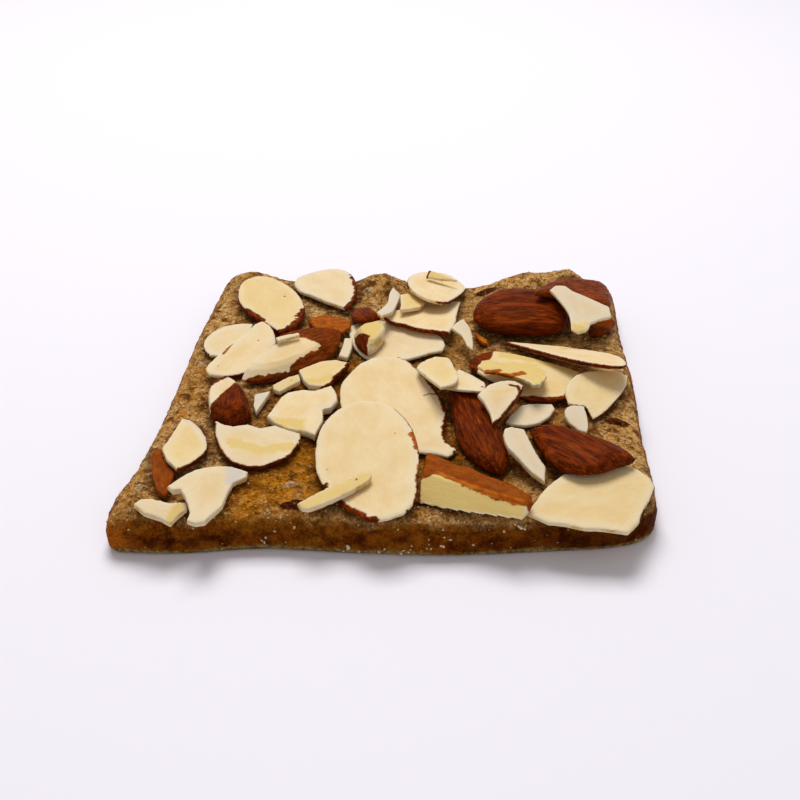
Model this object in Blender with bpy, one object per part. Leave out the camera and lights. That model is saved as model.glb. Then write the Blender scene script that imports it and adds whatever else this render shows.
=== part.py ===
"""A square of spiced biscuit dough, cut by hand, with flaked and broken almonds baked on."""

import math
import random

import bmesh
import bpy
import numpy as np
from mathutils import Vector, noise
from mathutils.bvhtree import BVHTree

# Driving dimensions, in millimetres. X runs to the right, Y away from the front edge.
DOUGH_THICKNESS = 5.4
GAP = 0.3
STEEPEST_REST = 0.28
CELL = 0.25
BED_HALF_WIDTH = 42.0
RAY_HEIGHT = 60.0
METRE = 0.001

# Outlines: points for each stretch of the dough's edge, and how far apart they are along an almond's
# round edge and along a break, with the share of its length that a break strays.
EDGE_STEPS = 4
CURVE_STEP = 1.5
BREAK_STEP = 2.4
JAG = 0.035

# The search for a piece's lean: first and last step of slope.
FIRST_STEP = 0.08
LAST_STEP = 0.002

# The cut edge of the dough, corner by corner, anticlockwise from the front left.
DOUGH_EDGE = (
    (-36.4, -33.8),
    (-33.0, -34.5),
    (-26.5, -34.3),
    (-17.0, -33.1),
    (-6.0, -33.5),
    (6.0, -33.6),
    (18.3, -32.5),
    (28.0, -31.3),
    (32.4, -29.3),
    (33.8, -25.0),
    (34.0, -12.0),
    (34.7, 4.0),
    (34.5, 18.0),
    (35.1, 28.4),
    (33.8, 32.3),
    (26.0, 32.2),
    (14.0, 31.6),
    (4.0, 31.4),
    (-7.0, 32.0),
    (-18.0, 32.2),
    (-26.8, 34.0),
    (-30.8, 32.0),
    (-32.9, 26.0),
    (-33.9, 9.5),
    (-34.4, -9.0),
    (-35.4, -22.0),
    (-36.8, -29.0),
)

# Swellings of the dough: centre, radius and height.
DOUGH_LUMPS = (
    (-4.5, 29.5, 6.0, 2.6),
    (20.0, 30.5, 7.0, 3.4),
    (27.0, 29.0, 5.0, 3.4),
    (-28.0, 30.0, 6.0, 1.6),
    (-33.5, -31.0, 5.0, 0.6),
    (31.0, -2.0, 6.0, 0.5),
    (0.0, -28.0, 9.0, -0.3),
)
LUMP_NOISE = ((7.0, 0.45), (2.6, 0.22))

# Small chips of almond and skin baked into the dough: place, length, width, turn in degrees.
CHIPS = (
    (30.3, -10.4, 3.2, 1.5, -20.0),
    (13.0, 27.6, 3.6, 1.4, 20.0),
    (-13.0, -30.6, 3.2, 1.4, 10.0),
    (-33.0, -28.5, 1.6, 1.1, 40.0),
    (-31.0, 3.0, 1.7, 1.1, 70.0),
    (-14.0, -26.0, 1.5, 1.0, 15.0),
    (12.0, -26.2, 1.6, 1.1, 30.0),
    (30.0, 5.5, 1.7, 1.2, 60.0),
    (-7.0, 26.0, 1.6, 1.2, 0.0),
    (6.0, 9.0, 1.5, 1.1, 45.0),
)
CHIP_SIDES = 7
CHIP_SUNK = 0.8
CHIP_PROUD = 0.6

# How the dough's side turns: share of the outline, share of the height, from the underside up.
DOUGH_SIDE = ((0.988, 0.0), (0.999, 0.12), (1.0, 0.42), (0.994, 0.72), (0.974, 0.92))
DOUGH_RINGS = (0.94, 0.88, 0.8, 0.71, 0.62, 0.52, 0.42, 0.32, 0.21, 0.1)

# Side profiles of the almond pieces, from the underside up, in the same shares.
FLAT = ((0.97, 0.0), (1.0, 0.3), (1.0, 0.75), (0.965, 1.0))
SKINNED = ((0.95, 0.0), (1.0, 0.35), (0.985, 0.8), (0.95, 1.0))
CHUNK = ((0.95, 0.0), (1.0, 0.3), (0.86, 0.8), (0.72, 1.0))
LOW_DOME = ((0.96, 0.0), (1.0, 0.3), (0.9, 0.72), (0.66, 0.96), (0.3, 1.0))
DOMED = ((0.94, 0.0), (1.0, 0.2), (0.95, 0.5), (0.8, 0.78), (0.55, 0.94), (0.25, 1.0))
WHOLE = ((0.5, 0.0), (0.85, 0.13), (1.0, 0.4), (0.95, 0.65), (0.75, 0.87), (0.4, 0.98))

collection = bpy.data.collections.new("spice_cookie")
chips_to_join = bpy.data.collections.new("chips_to_join")


def clear_scene():
    for item in list(bpy.data.objects):
        bpy.data.objects.remove(item)
    bpy.context.scene.collection.children.link(collection)
    bpy.context.scene.collection.children.link(chips_to_join)


def material(name, colour, roughness):
    made = bpy.data.materials.new(name)
    made.use_nodes = True
    shader = made.node_tree.nodes["Principled BSDF"]
    shader.inputs["Base Color"].default_value = (*colour, 1.0)
    shader.inputs["Roughness"].default_value = roughness
    shader.inputs["Metallic"].default_value = 0.0
    return made


def smooth_loop(corners, steps):
    """Points of a closed smooth curve through the corners."""
    points = []
    count = len(corners)
    for i in range(count):
        a, b, c, d = (Vector(corners[(i + k) % count]) for k in (-1, 0, 1, 2))
        for step in range(steps):
            t = step / steps
            points.append(
                0.5 * (2 * b + (c - a) * t + (2 * a - 5 * b + 4 * c - d) * t * t
                       + (3 * b - 3 * c + d - a) * t ** 3)
            )
    return points


def nut_loop(corners, seed):
    """Points of an almond piece's outline. A corner is x, y and 1 where the edge runs round through it.

    Between two corners that are 0 the nut has snapped, and the break is a little jagged."""
    draw = random.Random(seed)
    count = len(corners)
    spots = [Vector(corner[:2]) for corner in corners]
    points = []
    for i, start in enumerate(spots):
        end = spots[(i + 1) % count]
        run = end - start
        round_start = corners[i][2]
        round_end = corners[(i + 1) % count][2]
        if not (round_start or round_end):
            steps = max(1, round(run.length / BREAK_STEP))
            out = Vector((run.y, -run.x))
            for step in range(steps):
                jag = draw.uniform(-JAG, JAG) if step else 0.0
                points.append(start + run * (step / steps) + out * jag)
            continue
        leave = (end - spots[i - 1]) / 2
        arrive = (spots[(i + 2) % count] - start) / 2
        leave = leave.normalized() * run.length if round_start else 2 * run - arrive.normalized() * run.length
        arrive = arrive.normalized() * run.length if round_end else 2 * run - leave
        steps = max(1, round(run.length / CURVE_STEP))
        for step in range(steps):
            t = step / steps
            points.append(
                (2 * t ** 3 - 3 * t * t + 1) * start + (t ** 3 - 2 * t * t + t) * leave
                + (3 * t * t - 2 * t ** 3) * end + (t ** 3 - t * t) * arrive
            )
    return points


def middle_of(points):
    """The centre of area of an outline."""
    area = 0.0
    centre = Vector((0.0, 0.0))
    for a, b in zip(points, points[1:] + points[:1]):
        cross = a.x * b.y - b.x * a.y
        area += cross
        centre += (a + b) * cross
    return centre / (3 * area)


def loft(rings):
    """A closed mesh through rings of equal length, from the underside up, in millimetres."""
    bm = bmesh.new()
    loops = [[bm.verts.new(point) for point in ring] for ring in rings]
    bm.faces.new(reversed(loops[0]))
    bm.faces.new(loops[-1])
    for lower, upper in zip(loops, loops[1:]):
        for i in range(len(lower)):
            j = (i + 1) % len(lower)
            bm.faces.new((lower[i], lower[j], upper[j], upper[i]))
    return bm


def finish(name, bm, finish_material, home=collection):
    """Turns a mesh in millimetres into an object in metres."""
    bmesh.ops.triangulate(bm, faces=bm.faces)
    bmesh.ops.scale(bm, vec=(METRE,) * 3, verts=bm.verts)
    mesh = bpy.data.meshes.new(name)
    bm.to_mesh(mesh)
    bm.free()
    mesh.materials.append(finish_material)
    made = bpy.data.objects.new(name, mesh)
    home.objects.link(made)
    return made


# The bed: the height of all that has been laid so far, cell by cell

cells = np.arange(-BED_HALF_WIDTH, BED_HALF_WIDTH, CELL)
bed = np.zeros((len(cells), len(cells)))


def read_heights(bm, low, high, from_above):
    """Heights of a mesh on the bed's cells between two corners, with NaN where it isn't."""
    tree = BVHTree.FromBMesh(bm)
    first = [max(0, int((low[k] + BED_HALF_WIDTH) / CELL) - 1) for k in range(2)]
    last = [min(len(cells), int((high[k] + BED_HALF_WIDTH) / CELL) + 2) for k in range(2)]
    found = np.full((last[0] - first[0], last[1] - first[1]), np.nan)
    start = RAY_HEIGHT if from_above else -RAY_HEIGHT
    way = Vector((0, 0, -1.0 if from_above else 1.0))
    for i in range(found.shape[0]):
        for j in range(found.shape[1]):
            hit = tree.ray_cast(Vector((cells[first[0] + i], cells[first[1] + j], start)), way)[0]
            if hit:
                found[i, j] = hit.z
    return first, found


def corners_of(bm):
    xs = [v.co.x for v in bm.verts]
    ys = [v.co.y for v in bm.verts]
    return (min(xs), min(ys)), (max(xs), max(ys))


def add_to_bed(bm):
    first, found = read_heights(bm, *corners_of(bm), from_above=True)
    rows, columns = found.shape
    part = bed[first[0]:first[0] + rows, first[1]:first[1] + columns]
    np.fmax(part, found, out=part)


def widened(heights):
    """Each cell takes the highest of itself and its neighbours."""
    padded = np.pad(heights, 1, mode="edge")
    rows, columns = heights.shape
    return np.max([padded[i:i + rows, j:j + columns] for i in range(3) for j in range(3)], axis=0)


def rest_on_bed(bm, centre, lean):
    """Lowers a piece, which is leant or finds its own lean, until it lies a gap above the bed."""
    first, under = read_heights(bm, *corners_of(bm), from_above=False)
    rows, columns = under.shape
    below = widened(bed[first[0]:first[0] + rows, first[1]:first[1] + columns])
    across, along = np.meshgrid(
        cells[first[0]:first[0] + rows] - centre.x,
        cells[first[1]:first[1] + columns] - centre.y,
        indexing="ij",
    )
    covered = ~np.isnan(under)
    need = (below - under)[covered] + GAP
    across, along = across[covered], along[covered]

    def height_at(slope):
        return float(np.max(need - slope[0] * across - slope[1] * along))

    slope = lean or (0.0, 0.0)
    step = 0.0 if lean else FIRST_STEP
    while step > LAST_STEP:
        tries = [
            (slope[0] + i * step, slope[1] + j * step)
            for i in (-1, 0, 1)
            for j in (-1, 0, 1)
            if math.hypot(slope[0] + i * step, slope[1] + j * step) <= STEEPEST_REST
        ]
        best = min(tries, key=height_at)
        step = step if height_at(best) < height_at(slope) - 1e-6 else step / 2
        slope = best
    lift = height_at(slope)
    for vertex in bm.verts:
        offset = vertex.co.xy - centre
        vertex.co.z += lift + slope[0] * offset.x + slope[1] * offset.y


def lay(name, corners, finish_material, thickness, profile=FLAT, shift=(0, 0), wedge=(0, 0), lean=None):
    """Makes one almond piece and lays it on what is there.

    Shift slants its sides, in millimetres for each millimetre up. Wedge thickens it along X and Y."""
    outline = nut_loop(corners, name)
    centre = middle_of(outline)
    rings = []
    for share, height in profile:
        ring = []
        for point in outline:
            offset = (point - centre) * share
            up = height * (thickness + offset.dot(Vector(wedge)))
            ring.append((*(centre + offset + Vector(shift) * up), up))
        rings.append(ring)
    bm = loft(rings)
    rest_on_bed(bm, centre, lean)
    add_to_bed(bm)
    finish(name, bm, finish_material)



# The dough


def dough_top(x, y):
    """Height of the dough's upper surface away from its edge."""
    height = DOUGH_THICKNESS
    for lump_x, lump_y, radius, rise in DOUGH_LUMPS:
        height += rise * math.exp(-((x - lump_x) ** 2 + (y - lump_y) ** 2) / (radius * radius / 2))
    for size, depth in LUMP_NOISE:
        height += depth * noise.noise(Vector((x / size, y / size, 0.0)))
    return height


def make_dough():
    outline = smooth_loop(DOUGH_EDGE, EDGE_STEPS)
    centre = middle_of(outline)
    rings = []
    for share, height in DOUGH_SIDE:
        ring = [centre + (point - centre) * share for point in outline]
        rings.append([(p.x, p.y, height * dough_top(p.x, p.y)) for p in ring])
    for share in DOUGH_RINGS:
        ring = [centre + (point - centre) * share for point in outline]
        rings.append([(p.x, p.y, dough_top(p.x, p.y)) for p in ring])
    return finish("dough", loft(rings), DOUGH_BROWN)


def strew_chips():
    """Bakes the small chips into the dough with one union, then takes the dough's heights."""
    dough = bpy.data.objects["dough"]
    for place, (x, y, length, width, turn) in enumerate(CHIPS):
        draw = random.Random(place)
        along = Vector((math.cos(math.radians(turn)), math.sin(math.radians(turn))))
        across = Vector((-along.y, along.x))
        low = dough_top(x, y) - CHIP_SUNK
        rings = []
        for share, up in ((0.9, 0.0), (1.0, 0.6), (0.7, 1.0)):
            ring = []
            for k in range(CHIP_SIDES):
                angle = math.tau * k / CHIP_SIDES
                reach = share * (1 + 0.25 * random.Random(place * CHIP_SIDES + k).uniform(-1, 1))
                spot = Vector((x, y)) + along * (length / 2 * reach * math.cos(angle))
                spot += across * (width / 2 * reach * math.sin(angle))
                ring.append((spot.x, spot.y, low + up * (CHIP_SUNK + CHIP_PROUD * draw.uniform(0.8, 1.2))))
            rings.append(ring)
        finish(f"chip_{place}", loft(rings), FLESH, chips_to_join)
    join = dough.modifiers.new("chips", "BOOLEAN")
    join.operation = "UNION"
    join.operand_type = "COLLECTION"
    join.collection = chips_to_join
    bpy.context.view_layer.update()
    joined = bpy.data.meshes.new_from_object(dough.evaluated_get(bpy.context.evaluated_depsgraph_get()))
    dough.modifiers.remove(join)
    dough.data = joined
    for item in list(chips_to_join.objects):
        bpy.data.objects.remove(item)
    bpy.data.collections.remove(chips_to_join)
    bm = bmesh.new()
    bm.from_mesh(joined)
    bmesh.ops.scale(bm, vec=(1 / METRE,) * 3, verts=bm.verts)
    add_to_bed(bm)
    bm.free()


clear_scene()
DOUGH_BROWN = material("dough_brown", (0.36, 0.19, 0.06), 0.85)
FLESH = material("almond_flesh", (0.84, 0.66, 0.38), 0.6)
SKIN = material("almond_skin", (0.13, 0.025, 0.005), 0.5)
SKIN_AMBER = material("almond_skin_amber", (0.26, 0.07, 0.01), 0.5)

make_dough()
strew_chips()

# Pieces low in the heap
lay(
    "almond_under_back",
    (
        (-7.9, 7.4, 1), (-4.7, 3.6, 1), (-0.9, 3.5, 1), (2.2, 4.7, 0), (5.7, 6.2, 0),
        (6.1, 7.8, 1), (5.2, 10.8, 1), (2, 12.8, 0), (-4.4, 15.9, 0), (-7.4, 15.5, 0),
        (-9.2, 14.3, 1),
    ),
    FLESH,
    thickness=0.6,
)
lay(
    "almond_under_left",
    (
        (-30, 4.5, 1), (-28.1, 4.3, 0), (-25, 8.5, 0), (-24.8, 14.4, 0), (-27.8, 14, 1),
        (-30, 12.4, 1), (-31.3, 9.8, 1), (-31.5, 7.1, 1),
    ),
    FLESH,
    thickness=0.6,
)
lay(
    "skin_amber_back",
    (
        (-15, 13.9, 1), (-12.8, 11.7, 1), (-10, 11, 1), (-8.8, 12.6, 1), (-9.7, 15, 0),
        (-11.4, 16.3, 1), (-14.2, 17.4, 1), (-16.2, 16.7, 0),
    ),
    SKIN_AMBER,
    thickness=0.6,
)
lay(
    "skin_dark_back",
    (
        (-7.9, 12.8, 1), (-6.1, 12.6, 1), (-4.2, 14.2, 0), (-5.5, 17.9, 1), (-7, 20, 1),
        (-8.6, 19.5, 1), (-9.2, 16.8, 1),
    ),
    SKIN,
    thickness=1.5,
    profile=DOMED,
)
lay(
    "almond_under_right",
    (
        (10.9, 0.8, 1), (13.7, -1.9, 0), (17, -5.8, 0), (20, -6.9, 1), (23.3, -6.2, 0),
        (25, -2.8, 1), (26.4, 0.9, 0), (22.9, 3.2, 1), (18.2, 5.6, 1), (13.7, 7, 0),
        (10.5, 5.5, 1), (9.7, 2.6, 0),
    ),
    FLESH,
    thickness=0.6,
)

# Almonds with their brown skin up
lay(
    "almond_whole_brown",
    (
        (11, 13, 1), (13.2, 11.6, 1), (17.2, 10.9, 1), (23.4, 11.2, 1), (25.5, 13.3, 1),
        (25.9, 16.9, 1), (24.5, 19.9, 1), (21.6, 21.9, 1), (17.8, 22.3, 1), (13.8, 21.3, 1),
        (11.4, 18.7, 1), (10.4, 15.4, 1),
    ),
    SKIN,
    thickness=4.3,
    profile=WHOLE,
    shift=(0.0, 0.15),
    lean=(0.0, 0.03),
)
lay(
    "almond_ridged_brown",
    (
        (6.9, -9, 1), (7.2, -13.4, 1), (8.1, -18.1, 1), (9.7, -21.5, 1), (11.5, -23.2, 0),
        (13.5, -24.4, 0), (14.4, -22.5, 1), (14.5, -19.4, 1), (14, -16, 1), (12.8, -12.8, 1),
        (11.4, -8.2, 1), (9.6, -5, 0), (6.4, -5.4, 0),
    ),
    SKIN,
    thickness=2.4,
    profile=LOW_DOME,
)

# Middle of the cookie
lay(
    "almond_big_centre",
    (
        (-8.6, -10, 1), (-6.8, -13.4, 1), (-4.2, -16.9, 1), (-1, -18.7, 1), (2.1, -19.6, 1),
        (4.9, -19.8, 0), (6.4, -20.3, 1), (7.3, -19.5, 1), (7.8, -18.3, 0), (6.5, -17.4, 1),
        (5.9, -15.2, 1), (6.1, -12.6, 1), (6.4, -10.1, 1), (5.6, -7, 1), (4.2, -4.1, 1),
        (2.3, -0.2, 1), (0.7, 2.3, 1), (-1, 3.4, 1), (-3.1, 3.5, 1), (-5, 2.8, 1), (-6.6, 1.3, 1),
        (-8.5, -2.6, 1), (-9.1, -4.8, 1), (-9, -7.2, 1),
    ),
    FLESH,
    thickness=0.65,
)
lay(
    "almond_top_triangle",
    (
        (8.4, -8.9, 0), (11.3, -9.3, 0), (11.8, -7.1, 1), (11.7, -5.1, 1), (8.1, 1.3, 0),
        (5.4, -7.6, 0),
    ),
    FLESH,
    thickness=0.5,
)
lay(
    "almond_right_flat",
    (
        (15.3, -12.7, 1), (17.2, -12.9, 1), (19.4, -12, 1), (20.8, -10.4, 1), (21.7, -8.5, 0),
        (21.4, -7.3, 0), (19.2, -7.3, 1), (16.9, -7.9, 1), (15.7, -9.7, 1), (14.5, -12.2, 0),
    ),
    FLESH,
    thickness=0.6,
)
lay(
    "almond_brown_edge",
    (
        (11.4, -12.8, 1), (12.1, -14.7, 1), (12.4, -17, 0), (13.5, -15.4, 1), (15.1, -12.5, 1),
        (16.6, -9, 1), (17.2, -6.8, 0), (16.1, -6.2, 1), (13.9, -7, 1), (11.9, -8.8, 0),
        (10.4, -11.4, 0),
    ),
    FLESH,
    thickness=0.8,
    profile=SKINNED,
)
lay(
    "almond_ragged",
    (
        (11.6, -4.3, 0), (13.4, -4.4, 0), (15, -5, 0), (17.1, -5.8, 1), (18.5, -8.1, 0),
        (19.6, -7, 1), (20.7, -3.5, 1), (20.5, -0.3, 1), (19.1, 1.9, 1), (17, 1.8, 0),
        (14.3, 0.8, 0), (12.7, 1.5, 1), (11.6, 0.3, 1), (10.7, -2.3, 0),
    ),
    FLESH,
    thickness=0.7,
)
lay(
    "almond_top_chip",
    (
        (3.9, -7.2, 1), (5.4, -10.7, 0), (7.4, -8.7, 1), (7.9, -4.9, 1), (7.4, -1.4, 0),
        (6.6, 3.9, 0), (4.5, 4.3, 0), (2.8, 2, 1), (1.8, -1.9, 0),
    ),
    FLESH,
    thickness=0.7,
)

# Back edge
lay(
    "almond_back_flap",
    (
        (-2.7, 13, 1), (-0.6, 12, 0), (1.3, 10.6, 1), (4.1, 9.8, 1), (6.6, 9.4, 0), (7.8, 14.5, 0),
        (8, 17.6, 1), (8.7, 22.9, 0), (3, 22.1, 0), (-1, 18.2, 0), (-2.5, 17.6, 1),
        (-3.8, 14.9, 0),
    ),
    FLESH,
    thickness=0.8,
)
lay(
    "almond_chunk_yellow",
    (
        (-7.4, 6.4, 1), (-5.9, 4.1, 0), (-5, 4.5, 0), (-3.8, 6.9, 1), (-3.3, 9.2, 0),
        (-4.3, 12.1, 0), (-7.3, 10.8, 0), (-8.3, 9.4, 0),
    ),
    FLESH,
    thickness=2.2,
    profile=CHUNK,
    shift=(0.2, 0.2),
)
lay(
    "almond_back_lilac",
    (
        (-3.2, 22.1, 1), (-3.3, 17.7, 1), (-4.7, 12.2, 0), (-3.9, 10.9, 0), (-2.3, 13.8, 0),
        (-1.8, 17.6, 1), (-1.3, 22.9, 0), (-2.7, 26.1, 0),
    ),
    FLESH,
    thickness=0.7,
)
lay(
    "almond_back_yellow",
    (
        (2, 17, 0), (3.3, 21, 0), (1, 21.8, 1), (-1.3, 20.6, 0), (-1.2, 14.6, 0),
    ),
    FLESH,
    thickness=0.7,
)
lay(
    "almond_back_round",
    (
        (-0, 21.4, 1), (1.1, 19.3, 1), (3.3, 17.2, 1), (5.6, 17.2, 1), (7.1, 19.1, 0),
        (8.8, 23.6, 1), (9.7, 27.2, 0), (8.3, 31.1, 1), (5.9, 33.5, 1), (2, 31.6, 1),
        (0.2, 28.5, 1), (-0.4, 24.4, 1),
    ),
    FLESH,
    thickness=0.8,
    profile=SKINNED,
)
lay(
    "almond_small_tip",
    (
        (8.5, 8.4, 1), (9.4, 6, 1), (10.3, 5.3, 0), (10.3, 8.7, 1), (9.8, 11.3, 1), (8.9, 13.1, 0),
        (7.7, 11.4, 0), (6.9, 9.7, 0),
    ),
    FLESH,
    thickness=0.6,
)
lay(
    "skin_orange_scrap",
    (
        (11.2, 11.2, 1), (11.9, 9.8, 1), (12.8, 9.5, 1), (12.8, 10.7, 0), (11.6, 12, 1),
        (10.5, 13, 0),
    ),
    SKIN_AMBER,
    thickness=0.6,
)
lay(
    "almond_back_thin",
    (
        (5.3, 26, 0), (8.2, 25.7, 0), (6.3, 26.8, 1), (4.2, 27.8, 1), (3.2, 28.1, 0),
        (2.8, 26.5, 0),
    ),
    FLESH,
    thickness=0.5,
    lean=(0.0, 0.3),
)

# Back left corner
lay(
    "almond_back_left_round",
    (
        (-27.8, 19.5, 1), (-26.6, 17.5, 1), (-24.5, 15.2, 1), (-22.1, 13.1, 1), (-20.2, 11.1, 0),
        (-18.3, 12.4, 1), (-17.1, 14.6, 1), (-16.7, 17.7, 1), (-17.2, 20.3, 1), (-18.5, 23.3, 1),
        (-20.5, 25.8, 1), (-23.3, 27.9, 1), (-26, 28.4, 1), (-27.6, 27.2, 1), (-28.5, 25, 1),
        (-28.4, 21.7, 1),
    ),
    FLESH,
    thickness=1.1,
    profile=SKINNED,
)
lay(
    "almond_back_left_half",
    (
        (-18.5, 25.5, 1), (-16.4, 24, 1), (-14.2, 22.1, 1), (-10.1, 19.1, 0), (-9.3, 20.3, 1),
        (-8.7, 23.2, 1), (-8.8, 26.5, 1), (-9.6, 29.9, 1), (-11, 32.2, 1), (-13, 33.3, 1),
        (-15.3, 33, 1), (-17.7, 32, 1), (-19.5, 30.6, 0), (-19.9, 28.4, 1),
    ),
    FLESH,
    thickness=0.8,
    profile=SKINNED,
)
lay(
    "almond_left_pointed",
    (
        (-28.8, -2.1, 1), (-26.7, -2.2, 1), (-24.4, -1.2, 1), (-22.2, 0.6, 1), (-20.7, 3.2, 1),
        (-20.1, 6.4, 1), (-20.5, 9.6, 1), (-21.7, 12.4, 1), (-23, 13.4, 1), (-24.1, 12.2, 0),
        (-24.8, 10.2, 0), (-26.4, 6.9, 0), (-28.9, 1.7, 1), (-29.6, -0.9, 1),
    ),
    FLESH,
    thickness=0.75,
)
lay(
    "almond_left_white",
    (
        (-22.2, -3.4, 1), (-20.1, -2.8, 1), (-17.7, -1.5, 1), (-15.7, 0.2, 1), (-13.7, 1.6, 1),
        (-11.9, 3.4, 1), (-10.7, 5.1, 0), (-10, 7.7, 1), (-9.9, 10.6, 0), (-14.2, 9.6, 1),
        (-17, 8.1, 1), (-19.1, 6.5, 0), (-19.5, 4.3, 1), (-22, 0, 1), (-23.7, -3.2, 0),
    ),
    FLESH,
    thickness=1.9,
    profile=CHUNK,
    shift=(-0.5, 0.4),
)
lay(
    "almond_splinter",
    (
        (-19.1, 3.9, 0), (-16.1, 5.8, 0), (-16.3, 6.4, 0), (-19.7, 4.6, 0),
    ),
    FLESH,
    thickness=0.6,
)

# Left side
lay(
    "almond_bar",
    (
        (-9.8, 6.6, 1), (-10.2, 4.8, 0), (-8.8, 3.9, 0), (-8.3, 6.3, 1), (-8.3, 8.6, 0),
        (-9.6, 8.9, 0),
    ),
    FLESH,
    thickness=0.8,
)
lay(
    "almond_chip_mid",
    (
        (-14.8, -3, 0), (-13.9, -4.3, 1), (-11.9, -4.6, 1), (-10.5, -3.9, 1), (-10.2, -2.3, 1),
        (-9.1, -0.4, 1), (-8.3, 2.1, 0), (-10.5, 2.9, 0), (-12.8, 2.2, 1), (-14.4, 0.9, 0),
        (-15.8, -0.3, 0),
    ),
    FLESH,
    thickness=1.1,
    profile=SKINNED,
)
lay(
    "almond_tile",
    (
        (-18.9, -5.1, 0), (-18, -5.6, 0), (-15.1, -3.4, 0), (-15.5, -1.9, 0), (-16.8, -2.4, 0),
        (-19.2, -4.1, 0),
    ),
    FLESH,
    thickness=0.8,
)
lay(
    "almond_left_big_chip",
    (
        (-17.7, -14.1, 1), (-16, -15.4, 1), (-12.9, -16.2, 0), (-11.6, -17.2, 0),
        (-10.8, -13.7, 0), (-11.1, -10.8, 0), (-10, -10.4, 0), (-9.2, -8.4, 1), (-10.4, -4.5, 0),
        (-12.7, -5.9, 0), (-14.6, -5.6, 1), (-16.6, -6.4, 0), (-17.5, -7.7, 0), (-18, -9.6, 0),
        (-18.4, -11.2, 0), (-18.9, -12.5, 1),
    ),
    FLESH,
    thickness=1.2,
)
lay(
    "almond_chunk_left",
    (
        (-26.4, -13, 0), (-24.8, -14.2, 1), (-23.2, -15, 0), (-22, -13.7, 1), (-20.9, -12.1, 0),
        (-22, -7.9, 1), (-23.2, -5.5, 1), (-25, -3.8, 0), (-26.4, -5, 1), (-27.1, -7.5, 1),
        (-26.9, -10.9, 0),
    ),
    SKIN,
    thickness=3.0,
    profile=CHUNK,
    shift=(-0.3, 0.0),
)
lay(
    "almond_grey_chip",
    (
        (-21.2, -9.6, 0), (-20.6, -11.2, 0), (-19.9, -8.6, 0), (-19.2, -5.6, 0), (-21.4, -6.7, 0),
    ),
    FLESH,
    thickness=0.9,
)
lay(
    "almond_crescent",
    (
        (-24.7, -19.2, 1), (-23.5, -21.4, 1), (-21.9, -23.2, 1), (-19.8, -23.9, 1),
        (-17.9, -23.7, 1), (-16.2, -22.6, 1), (-14.4, -20.9, 1), (-13.7, -18.8, 1),
        (-13.7, -16.5, 0), (-15.2, -16, 1), (-17.3, -15, 0), (-19.2, -15.8, 1), (-21.1, -15.1, 0),
        (-23, -15.7, 1), (-25.7, -14.6, 0), (-25.5, -16.8, 1),
    ),
    FLESH,
    thickness=0.75,
)
lay(
    "skin_strip_left",
    (
        (-32.8, -23.1, 1), (-31.8, -26.5, 1), (-30.2, -30.4, 1), (-29, -31.2, 0), (-29, -27.6, 1),
        (-29.1, -25.4, 0), (-31, -22.8, 1), (-32.1, -20, 0), (-33.1, -20.3, 0),
    ),
    SKIN,
    thickness=0.9,
)
lay(
    "almond_left_chip",
    (
        (-30.3, -24.4, 0), (-28.5, -26.5, 0), (-27.3, -25.1, 1), (-26, -22.1, 1),
        (-25.8, -19.8, 1), (-26.3, -17.9, 0), (-27.5, -15.6, 0), (-29.5, -13.3, 1),
        (-30.7, -13.2, 0), (-31.1, -18.7, 1), (-31.5, -21.9, 0),
    ),
    FLESH,
    thickness=0.8,
)
lay(
    "almond_corner_chip",
    (
        (-31.2, -34.2, 1), (-29.2, -34.6, 0), (-27.7, -35.3, 0), (-27.1, -34, 1),
        (-26.1, -32.6, 1), (-26.3, -31.7, 0), (-28.4, -32.2, 0), (-30.6, -31.9, 1),
        (-32, -32.2, 1), (-32.7, -33.1, 0),
    ),
    FLESH,
    thickness=0.8,
)
lay(
    "almond_left_leg",
    (
        (-28.1, -31.4, 0), (-27.2, -30.9, 0), (-26.4, -32, 1), (-25.3, -34.8, 0),
        (-25.4, -36.2, 0), (-24.4, -36.4, 0), (-23.3, -35.8, 0), (-22.5, -33.9, 0),
        (-21.7, -32.4, 0), (-21.5, -30.2, 1), (-21.1, -27.7, 0), (-19.6, -26.1, 0),
        (-19.6, -25, 0), (-21.7, -24.6, 1), (-23.6, -25.2, 1), (-26.1, -26.8, 1), (-27.7, -29, 1),
        (-28.8, -30.9, 0),
    ),
    FLESH,
    thickness=0.9,
)

# Front
lay(
    "almond_big_right",
    (
        (18.8, -33.8, 0), (20.8, -33.9, 0), (23.1, -34.5, 0), (25.3, -34.4, 0), (27, -34.6, 0),
        (28.5, -34.8, 0), (30.1, -32.7, 1), (30.9, -30.7, 1), (32.2, -28.4, 0), (33, -26.3, 1),
        (32.6, -24.7, 1), (31.1, -23.1, 1), (29.2, -22.3, 0), (24.7, -23.9, 1), (21.4, -24.8, 0),
        (18.6, -28, 0), (17.8, -29.4, 0), (16.2, -32.4, 0),
    ),
    FLESH,
    thickness=0.7,
    lean=(-0.04, 0.1),
)
lay(
    "almond_front_wedge",
    (
        (2.5, -29.7, 0), (5.5, -31.1, 0), (9.2, -32.4, 0), (12.8, -33.4, 0), (15.7, -34.3, 0),
        (16.7, -32.9, 0), (13.5, -30.2, 0), (6.8, -26.9, 0), (2.9, -24.6, 0),
    ),
    SKIN_AMBER,
    thickness=2.2,
    shift=(0.25, 1.15),
    wedge=(-0.08, 0.0),
)
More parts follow.
